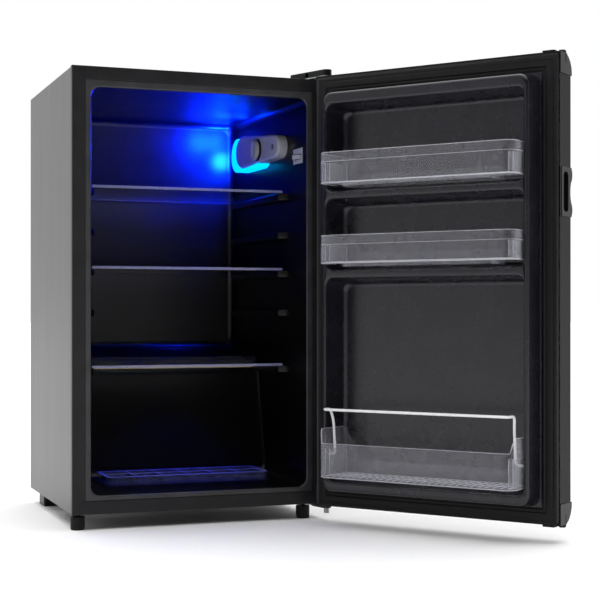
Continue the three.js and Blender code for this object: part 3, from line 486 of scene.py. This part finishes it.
def rear_panel():
    """Back sheet with shallow pressed channels down it, and screws along its edges."""
    (left, inner, bottom), (right, outer, top) = in_cabinet("rear_panel")
    channels, wide, narrow, deep = 5, 13, 11, 3
    line = [(left, outer)]
    for i in range(channels):
        x = mix(left, right, (i + 1) / (channels + 1))
        line += [(x - wide, outer), (x - narrow, outer - deep), (x + narrow, outer - deep), (x + wide, outer)]
    line.append((right, outer))
    outline = line[::-1] + [(x, y - (outer - inner)) for x, y in line]
    bm = bmesh.new()
    slab(bm, outline, bottom, top)
    piece("rear_panel_sheet", bm, CABINET, PAINT, "cabinet", ["rear_panel"])
    face_out = Matrix.Rotation(-math.pi / 2, 4, "X")
    margin, sunk = 9, 0.45
    bm = bmesh.new()
    for x in (left + margin, (left + right) / 2, right - margin):
        for z in (bottom + margin, (bottom + top) / 2, top - margin):
            screw(bm, Matrix.Translation((x, outer - sunk, z)) @ face_out, radius=4.2, height=0.7)
    piece("rear_panel_screws", bm, CABINET, STEEL, "cabinet")


def drier_tubes():
    """Fine tubes joining the drier to the condenser above it and to the pump's deck."""
    (x0, y0, bottom), (x1, y1, top) = in_cabinet("filter_drier")
    x, y = (x0 + x1) / 2, (y0 + y1) / 2
    ceiling = in_cabinet("rear_panel")[0][2]
    rising = [(x, y, top - 6), (x, y, top + 22), (x, y + 16, ceiling + 26)]
    returning = [(x, y, bottom + 6), (x, y, bottom - 16), (x - 34, y - 10, bottom - 16),
                 (x - 34, y - 10, ceiling + 6)]
    bm = bmesh.new()
    sweep(bm, round_bends(rising, 14), 2.0)
    sweep(bm, round_bends(returning, 12), 1.2)
    piece("filter_drier_tubes", bm, CABINET, COPPER, "cabinet")


def add_to(bm, part, place):
    """Moves a part to its place and joins it to a bmesh."""
    bmesh.ops.transform(part, matrix=place, verts=part.verts)
    mesh = bpy.data.meshes.new("part")
    part.to_mesh(mesh)
    part.free()
    bm.from_mesh(mesh)
    bpy.data.meshes.remove(mesh)


def screw(bm, place, radius, height):
    """Cross-head screw whose axis is the place's Z; its head stands up from the origin."""
    part = bmesh.new()
    revolve(part, [(radius, 0), (radius, height * 0.3), (radius * 0.8, height * 0.85),
                   (radius * 0.35, height)], 20)
    long, short = radius * 0.55, radius * 0.1
    for angle in (0, 90):
        arm = bmesh.new()
        block(arm, -long, -short, height, long, short, height * 1.04, edge=0)
        add_to(part, arm, Matrix.Rotation(math.radians(angle), 4, "Z"))
    add_to(bm, part, place)


def foot(node, x, y):
    """Levelling foot: a ribbed cup on a threaded stud."""
    bm = bmesh.new()
    revolve(bm, [(11.6, -28), (12.6, -27.2), (13.0, -25), (13.2, -6), (12.8, -4.4), (11.8, -4), (4.6, -3.6),
                 (4, -3), (4, 16.2), (3.2, 17)], 72, flutes=24, depth=0.9)
    seat = CABINET @ Matrix.Translation((x, y, 0))
    piece(f"{node}_cup", bm, seat, SEMI_GLOSS, node, [node])


# --------------------------------------------------------------- lamp and thermostat
def egg(inset, reach):
    """Outline round the housing's two circles, lying at a distance from the wall given by reach(y)."""
    steps = 14
    (y0, z0, r0), (y1, z1, r1) = HOUSING["front"], HOUSING["back"]
    heading = math.degrees(math.atan2(z1 - z0, y1 - y0))
    spread = math.degrees(math.acos((r0 - r1) / math.hypot(y1 - y0, z1 - z0)))
    around = arc(y0, z0, r0 - inset, heading + spread, heading + 360 - spread, steps)
    around += arc(y1, z1, r1 - inset, heading - spread, heading + spread, steps)
    return [(-reach(y), y, z) for y, z in around]


def housing_reach(y):
    """How far the housing's face stands off the wall at depth y."""
    return mix(HOUSING["thin"], HOUSING["thick"], (y - HOUSING_START) / (HOUSING_END - HOUSING_START))


def housing_seat(y, z):
    """Place on the housing's sloping face, its Z pointing into the cavity."""
    tilt = Matrix.Rotation(-HOUSING_TILT, 4, "Z")
    return RIGHT_WALL @ Matrix.Translation((-housing_reach(y) - 0.05, y, z)) @ tilt @ WALL_OUT


def thermostat_housing():
    """Domed cover on the right wall, with a ring round the dial and a screw in a well."""
    edge = 5.5
    rings = [egg(0, lambda y: 0.4)]
    for cosine, sine in quarter(6):
        drop = edge * (1 - sine)
        rings.append(egg(edge * (1 - cosine), lambda y, drop=drop: housing_reach(y) - drop))
    bm = bmesh.new()
    loft(bm, rings, end=True)
    piece("thermostat_housing_cover", bm, RIGHT_WALL, GREY, "cabinet",
          ["thermostat_housing"], limit=50)
    seat = housing_seat(KNOB["y"], KNOB["z"])
    bm = bmesh.new()
    revolve(bm, [(22.4, -1), (22.4, 0.35), (21.8, 0.6), (21.2, 0.4), (3, 0.4)], 48)
    piece("thermostat_housing_dial_ring", bm, seat, SEMI_GLOSS, "cabinet",
          ["thermostat_housing"])
    seat = housing_seat(*SCREW)
    bm = bmesh.new()
    revolve(bm, [(5.8, -1), (5.8, 0.2), (5.2, 0.4), (4.8, 0.2), (4.4, 0.15)], 32)
    piece("thermostat_housing_screw_well", bm, seat, SEMI_GLOSS, "cabinet",
          ["thermostat_housing"])
    bm = bmesh.new()
    screw(bm, Matrix.Translation((0, 0, 0.2)), radius=3.8, height=1.2)
    piece("housing_screw_head", bm, seat, STEEL, "cabinet", ["housing_screw"])


def thermostat_knob():
    """Dial with a fluted edge and a grip bar across it, and a pale pointer at the grip's end."""
    seat = RIGHT_WALL @ Matrix.Translation((KNOB["from"], KNOB["y"], KNOB["z"])) @ WALL_OUT
    tall = KNOB["from"] - KNOB["to"]
    r = KNOB["radius"]
    bm = bmesh.new()
    revolve(bm, [(4, -10), (4, 0), (r - 1, 0), (r, 0.8), (r, tall - 4), (r - 0.6, tall - 2.6),
                 (r - 2.5, tall - 2), (r - 6, tall - 2.2)], 96, flutes=32, depth=0.5)
    block(bm, -r + 4, -2.4, tall - 3, r - 4, 2.4, tall, edge=1.0)
    piece("thermostat_knob_dial", bm, seat, GREY, "thermostat_knob", ["thermostat_knob"])
    bm = bmesh.new()
    block(bm, r - 10, -0.5, tall - 0.1, r - 4.6, 0.5, tall - 0.01, edge=0)
    piece("thermostat_knob_pointer", bm, seat, MARK, "thermostat_knob")


# ----------------------------------------------------------------------- the shelves
def glass_shelf(name):
    """Pane whose front edge is ground, so that it catches the light; the edge strip's lavender tint is painted
    blue lamp light on the pale frosted glass.
    """
    (left, front, bottom), (right, back, top) = [[value / MM for value in corner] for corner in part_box(name)]
    bm = bmesh.new()
    slab(bm, [(left, front), (right, front), (right, back), (left, back)], bottom, top, edge=0.7)
    piece(f"{name}_pane", bm, Matrix.Scale(MM, 4), GLASS, name, [name])
    bm = bmesh.new()
    block(bm, left + 1, front + 0.15, bottom + 0.2, right - 1, front + 1.4, top - 0.2, edge=0.3)
    piece(f"{name}_ground_edge_painted_blue_glow", bm, Matrix.Scale(MM, 4), GROUND_EDGE_BLUE_GLOW, name)


# -------------------------------------------------------------------------- the door
def door_gasket():
    """Magnetic seal: parallel ribs round the door, mitred at the corners."""
    section = [(0, 0.3), (0.6, 3.4), (2.2, 4.7), (4.4, 4.3), (5.6, 3.2), (6.8, 3.2), (8, 4.6), (9.6, 5.4),
               (16.4, 5.5), (18, 4.7), (18.8, 3.0), (20, 3.0), (21, 4.4), (22.4, 4.9), (23.8, 4.4),
               (24.8, 2.8), (26, 2.6), (27, 1.6), (27.4, 0.3)]
    sides = (6, 5, WIDTH - 6, 792)
    rings = []
    for corner in range(4):
        ring = []
        for u, rise in section:
            a0, b0, a1, b1 = inset_sides(sides, u)
            x, z = ((a0, b0), (a1, b0), (a1, b1), (a0, b1))[corner]
            ring.append((x, DOOR_FACE + rise, z))
        rings.append(ring)
    bm = bmesh.new()
    loft(bm, rings, cyclic=True)
    piece("door_gasket_seal", bm, DOOR, RUBBER, "door", ["door_gasket"], limit=60)


def pocket_rings(low, high):
    """Rings from a pocket's round brow down its leaning wall to its round foot."""
    sides = (POCKET["left"], low, POCKET["right"], high)
    crest, back, lean = DYKE["crest"], POCKET["back"], POCKET["lean"]
    brow, sole, corner = 3.5, 9, 15
    rings = []
    for cosine, sine in quarter(5):
        rings.append(upright_ring(sides, -brow * (1 - sine), crest - brow * (1 - cosine), corner))
    for cosine, sine in quarter(6):
        rings.append(upright_ring(sides, lean + sole * (1 - cosine), back + sole * (1 - sine), corner))
    return rings


def door_liner():
    """Formed liner: a flange under the seal, a raised dyke, and the pockets let into it."""
    sides, crest, lean, corner = DYKE["sides"], DYKE["crest"], DYKE["lean"], DYKE["round"]
    brow, root = 4, 3
    rings = [upright_ring(FLANGE, 0, DOOR_FACE, 3)]
    for cosine, sine in quarter(4):
        rings.append(upright_ring(sides, -root * (1 - sine), DOOR_FACE + root * (1 - cosine), corner))
    for cosine, sine in quarter(5):
        rings.append(upright_ring(sides, lean + brow * (1 - cosine), crest - brow * (1 - sine), corner))
    bm = bmesh.new()
    brims = [loft(bm, rings)[-1]]
    brims += [loft(bm, pocket_rings(low, high), end=True)[0] for low, high in POCKETS]
    edges = [bm.edges.get(pair) for brim in brims for pair in zip(brim, brim[1:] + brim[:1])]
    bmesh.ops.triangle_fill(bm, edges=edges, use_beauty=True, use_dissolve=False)
    piece("door_liner_shell", bm, DOOR, DOOR_LINER, "door", ["door_liner"],
          limit=50, wall=LINER_WALL)


def rack_outline(inset):
    """Plan of a rack: tapered at the back, round at the front corners."""
    steps = 7
    left, right = RACK["left"] + inset, RACK["right"] - inset
    back, front, taper = RACK["back"] + inset, RACK["front"] - inset, RACK["taper"]
    r = RACK["round"] - inset
    rear = [left + taper, left + 24, left + 30, left + 36, right - 36, right - 30, right - 24, right - taper]
    points = [(x, back) for x in rear]
    points += [(right - taper * 0.4, back + 30), (right, RACK["shoulder"])]
    points += arc(right - r, front - r, r, 0, 90, steps)
    points += arc(left + r, front - r, r, 90, 180, steps)
    points += [(left, RACK["shoulder"]), (left + taper * 0.4, back + 30)]
    return points


def rack(node, bottom, rim, step=None):
    """Clear bin: a thin wall round a flat base, with rim(x, y) the height of its upper edge."""
    inside = bottom + RACK_WALL

    def ring(inset, height):
        return [(x, y, height(x, y)) for x, y in rack_outline(inset)]

    def level(z):
        return lambda x, y: z

    def below_rim(drop):
        return lambda x, y: rim(x, y) - drop
    rings = [ring(2.0, level(bottom)), ring(0.6, level(bottom + 0.5)), ring(0.0, level(bottom + 2))]
    if step:
        rings += [ring(0.0, lambda x, y: min(step, rim(x, y) - 3)),
                  ring(0.5, lambda x, y: min(step + 0.8, rim(x, y) - 2.4))]
    crest = len(rings)
    rings += [ring(0.5 if step else 0.0, below_rim(0.6)), ring(1.1, below_rim(0)),
              ring(RACK_WALL - 0.4, below_rim(0.1)), ring(RACK_WALL, below_rim(0.6)),
              ring(RACK_WALL, level(inside + 2)), ring(RACK_WALL + 1.4, level(inside + 0.2)),
              ring(RACK_WALL + 2.6, level(inside))]
    bm = bmesh.new()
    around = len(loft(bm, rings, start=True, end=True)[0])
    bm.faces.ensure_lookup_table()
    # The foot, the rim and the step take a whiter, more solid copy of the clear plastic as a painted highlight,
    # but not along the rear wall.
    bright = [0, 1, crest, crest + 1, crest + 2] + ([3] if step else [])
    for band in bright:
        for face in bm.faces[band * around:(band + 1) * around]:
            face.material_index = int(face.calc_center_median().y > RACK["back"] + 8)
    piece(f"{node}_bin", bm, DOOR, (CLEAR, EDGE_HIGHLIGHT), node, [node])
    rack_lattice(node, inside)
    rack_fins(node, inside + 2.8, (step or rim(MIDDLE, RACK["front"]) - 10) - 1)


def rack_lattice(node, inside):
    """Ribs over the base of a rack, crossing in two layers, all in the whiter copy of the clear plastic that
    paints a highlight.
    """
    left, right, back, front = RACK["left"], RACK["right"], RACK["back"], RACK["front"]
    ribs, half = 27, 0.6
    bm = bmesh.new()
    for i in range(ribs):
        x = mix(left + 14, right - 14, i / (ribs - 1))
        block(bm, x - half, back + 6, inside + 0.1, x + half, front - 9, inside + 1.5, edge=0.2)
    for y in (4, 24, 44):
        block(bm, left + 10, y - half, inside + 1.6, right - 10, y + half, inside + 2.6, edge=0.2)
    piece(f"{node}_base_lattice", bm, DOOR, EDGE_HIGHLIGHT, node)


def rack_fins(node, bottom, top):
    """Upright webs across the ends of a rack; their edges take the whiter copy of the clear plastic as a painted
    highlight, their sides stay clear.
    """
    left, right, back, front = RACK["left"], RACK["right"], RACK["back"], RACK["front"]
    half = 0.6
    bm = bmesh.new()
    for x in (left + 8, left + 16, right - 8, right - 17):
        block(bm, x - half, back + 10, bottom, x + half, front - 17, top, edge=0.2)
    bm.faces.ensure_lookup_table()
    for face in bm.faces:
        face.material_index = int(abs(face.normal.x) < 0.5)
    piece(f"{node}_end_fins", bm, DOOR, (CLEAR, EDGE_HIGHLIGHT), node)


def door_rack(node):
    """Stepped bin with a low rear wall, standing on a skirt."""
    (_, _, lowest), (_, _, top) = in_cabinet(node)
    bottom = lowest + 5

    def rim(x, y):
        inner = min(x - RACK["left"], RACK["right"] - x)
        low_back = y < RACK["back"] + 4 and inner > 31
        return bottom + 22 if low_back else top
    rack(node, bottom, rim, step=top - 17)
    left, right = RACK["left"] + 45, RACK["right"] - 45
    back, front = RACK["back"] + 14, RACK["front"] - 10
    rings = []
    for inset, drop in ((0, 0.1), (0, 4.4), (0.6, 5), (2.4, 5), (3, 4.4), (3, 0.1)):
        outline = rounded(left + inset, back + inset, right - inset, front - inset, 6 - inset)
        rings.append([(x, y, bottom - drop) for x, y in outline])
    bm = bmesh.new()
    loft(bm, rings, cyclic=True)
    piece(f"{node}_skirt", bm, DOOR, CLEAR, node)


def bottle_rack():
    """Deeper bin with a low rear wall, its ends higher than its front."""
    bottom, top, ends = BOTTLE_RACK["bottom"], BOTTLE_RACK["top"], BOTTLE_RACK["ends"]

    def rim(x, y):
        inner = min(x - RACK["left"], RACK["right"] - x)
        if y < RACK["back"] + 4 and inner > 31:
            return bottom + 26
        if inner > 7:
            return top
        return ends if y < 60 else mix(ends, top, min(1, (y - 60) / 13))
    rack("bottle_rack", bottom, rim)


def round_bends(corners, radius, steps=8):
    """Route through corners, each bend a curve that starts and ends at radius from its corner."""
    route = [Vector(corners[0])]
    for before, corner, after in zip(corners, corners[1:], corners[2:]):
        a, c, b = Vector(before), Vector(corner), Vector(after)
        p, q = c + (a - c).normalized() * radius, c + (b - c).normalized() * radius
        for i in range(steps + 1):
            t = i / steps
            route.append(p * (1 - t) ** 2 + c * 2 * t * (1 - t) + q * t * t)
    return route + [Vector(corners[-1])]


def sweep(bm, route, radius, sides=14):
    """Round wire along a route, its section carried along without twisting."""
    rings = []
    side = None
    for i, point in enumerate(route):
        ahead = (route[min(i + 1, len(route) - 1)] - route[max(i - 1, 0)]).normalized()
        side = (side - ahead * side.dot(ahead)).normalized() if side else ahead.orthogonal().normalized()
        across = ahead.cross(side)
        angles = [2 * math.pi * k / sides for k in range(sides)]
        rings.append([point + (side * math.cos(a) + across * math.sin(a)) * radius for a in angles])
    loft(bm, rings, start=True, end=True)


def bottle_guard():
    """Coated wire standing over the bottle bin's front, turning on a stub at each end."""
    stub, leg, bar = 50.5, 64, 61
    half = [(stub, 32, 104), (leg, 32, 104), (leg, 38, 165), (bar, 44, 187), (bar, 69, 187)]
    whole = half + [(WIDTH - x, y, z) for x, y, z in reversed(half)]
    bm = bmesh.new()
    sweep(bm, round_bends(whole, 9), 2.4)
    piece("bottle_guard_wire", bm, DOOR, WIRE, "bottle_guard", ["bottle_guard"], limit=60)


def cube_tray():
    """The ice tray's own form; the upward faces of its top rims take a bluer, more solid copy of its plastic as a
    painted highlight of the blue lamp light.
    """
    tray = refined("cube_tray", 0.8, material=(TRAY, TRAY_RIM_HIGHLIGHT))
    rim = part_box("cube_tray")[1].z - 2.5 * MM
    for face in tray.data.polygons:
        face.material_index = int(face.normal.z > 0.5 and face.center.z > rim)


# ------------------------------------------------------------------ building it all
front_frame()
inner_liner()
shelf_ribs()
rear_panel()
hinge_seat()
handle_return()
drier_tubes()
foot("front_foot_left", 14, 19)
foot("front_foot_right", 444, 19)
thermostat_housing()
thermostat_knob()
for shelf in ("upper_shelf", "middle_shelf", "lower_shelf"):
    glass_shelf(shelf)
door_gasket()
door_liner()
door_rack("upper_rack")
door_rack("middle_rack")
bottle_rack()
bottle_guard()

# CAD nodes that keep their own form, and how far their edges are rounded.
REFINED = {
    "outer_wrapper": 0.5, "bottom_plate": 0.4, "insulation_foam": 0, "evaporator_plate": 0.4,
    "condenser_coil": 0, "rear_foot_left": 1.2, "rear_foot_right": 1.2, "compressor_rail": 0.4,
    "compressor": 0.8, "relay_cover": 1.5, "filter_drier": 0, "suction_pipe": 0,
    "evaporation_tray": 0.6, "cord_gland": 0.5, "upper_hinge_bracket": 0.4,
    "upper_hinge_cover": 1.2, "upper_hinge_pin": 0.3, "lower_hinge_bracket": 0.6,
    "lower_hinge_pin": 0.3, "lower_hinge_screw_1": 0.2, "lower_hinge_screw_2": 0.2,
    "thermostat_body": 0.6, "lamp_lens": 0.3, "lamp_board": 0.2, "switch_plate": 0.5,
    "switch_lever": 0.6, "upper_shelf_trim": 0.5, "middle_shelf_trim": 0.5,
    "lower_shelf_trim": 0.5, "door_skin": 0.3, "door_foam": 0, "door_top_cap": 0.5,
    "door_bottom_cap": 0.5, "door_handle": 1.0, "upper_hinge_bush": 0.3, "lower_hinge_bush": 0.3,
    "top_hole_plug": 0.3, "bottom_hole_plug": 0.3, "compressor_grommet_1": 0.5,
    "compressor_grommet_2": 0.5, "compressor_grommet_3": 0.5, "compressor_grommet_4": 0.5,
}
OWN_MATERIAL = {"compressor": BLACK_IRON, "evaporator_plate": ALUMINIUM, "door_skin": DOOR_PAINT}
for node, edge in REFINED.items():
    refined(node, edge, material=OWN_MATERIAL.get(node))
cube_tray()


# --------------------------------------------------------------- floor, light, camera
def floor():
    """Plain pale floor, wide enough to fill the view."""
    reach = 60
    corners = [(-reach, -reach, 0), (reach, -reach, 0), (reach, reach, 0), (-reach, reach, 0)]
    mesh = bpy.data.meshes.new("floor")
    mesh.from_pydata(corners, [], [(0, 1, 2, 3)])
    made = bpy.data.objects.new("floor", mesh)
    bpy.context.scene.collection.objects.link(made)
    mesh.materials.append(surface("floor_white", (0.96, 0.96, 0.96), 0.6, spread=0.01, scale=2,
                                  bump=0.0, specular=0.2))


def glow(name, place, target, power, radius, cone=178):
    """Blue light from a small ball, shining only ahead of it."""
    lamp = bpy.data.lights.new(name, "SPOT")
    lamp.energy = power
    lamp.shadow_soft_size = radius
    lamp.spot_size = math.radians(cone)
    lamp.spot_blend = 0.25
    lamp.color = BLUE
    made = bpy.data.objects.new(name, lamp)
    made.location = place
    made.rotation_mode = "QUATERNION"
    made.rotation_quaternion = (Vector(target) - Vector(place)).to_track_quat("-Z", "Y")
    made.light_linking.receiver_collection = LAMPLIT
    bpy.context.scene.collection.objects.link(made)
    return made


def smooth_ramp(tree, source, begin, end, low, high):
    """Value rising smoothly from low to high as the source goes from begin to end."""
    ramp = tree.nodes.new("ShaderNodeMapRange")
    ramp.interpolation_type = "SMOOTHSTEP"
    for socket, value in (("From Min", begin), ("From Max", end), ("To Min", low), ("To Max", high)):
        ramp.inputs[socket].default_value = value
    tree.links.new(source, ramp.inputs["Value"])
    return ramp.outputs["Result"]


def lights():
    """Studio light from behind and above, white to the eye, and the blue lamps in the cavity."""
    world = bpy.data.worlds.new("studio")
    bpy.context.scene.world = world
    world.use_nodes = True
    nodes, links = world.node_tree.nodes, world.node_tree.links
    nodes["Background"].inputs["Color"].default_value = (1, 1, 1, 1)
    heading = nodes.new("ShaderNodeTexCoord")
    parts = nodes.new("ShaderNodeSeparateXYZ")
    links.new(heading.outputs["Generated"], parts.inputs["Vector"])
    behind = smooth_ramp(world.node_tree, parts.outputs["Y"], -0.85, 0.3, 0.015, 1.0)
    overhead = smooth_ramp(world.node_tree, parts.outputs["Z"], 0.55, 1.0, 0.0, 2.2)
    both = nodes.new("ShaderNodeMath")
    links.new(behind, both.inputs[0])
    links.new(overhead, both.inputs[1])
    ray = nodes.new("ShaderNodeLightPath")
    seen = nodes.new("ShaderNodeMix")
    seen.inputs[3].default_value = 1.0
    links.new(ray.outputs["Is Camera Ray"], seen.inputs["Factor"])
    links.new(both.outputs["Value"], seen.inputs[2])
    links.new(seen.outputs[0], nodes["Background"].inputs["Strength"])
    for name, place, power in LAMPS:
        aim = RIGHT_WALL @ (Vector(place) + Vector(LAMP_AIM))
        glow(name, RIGHT_WALL @ Vector(place), aim, power, 0.018)
    above_tray, tray = CABINET @ Vector((240, 110, 240)), CABINET @ Vector((230, 160, 0))
    low = glow("tray_glow", above_tray, tray, 4, 0.03, cone=90)
    low.visible_glossy = False


def camera():
    """Low and a little to the left of the fridge, with its upright lines kept upright."""
    data = bpy.data.cameras.new("camera")
    data.sensor_width = 36
    data.lens = CAMERA["lens"]
    data.shift_x, data.shift_y = CAMERA["shift"]
    made = bpy.data.objects.new("camera", data)
    made.location = CABINET @ Vector(CAMERA["place"])
    made.rotation_euler = (math.radians(CAMERA["pitch"]), 0, math.radians(CAMERA["heading"]))
    bpy.context.scene.collection.objects.link(made)
    bpy.context.scene.camera = made


floor()
lights()
camera()
bpy.context.scene.view_settings.view_transform = "Standard"
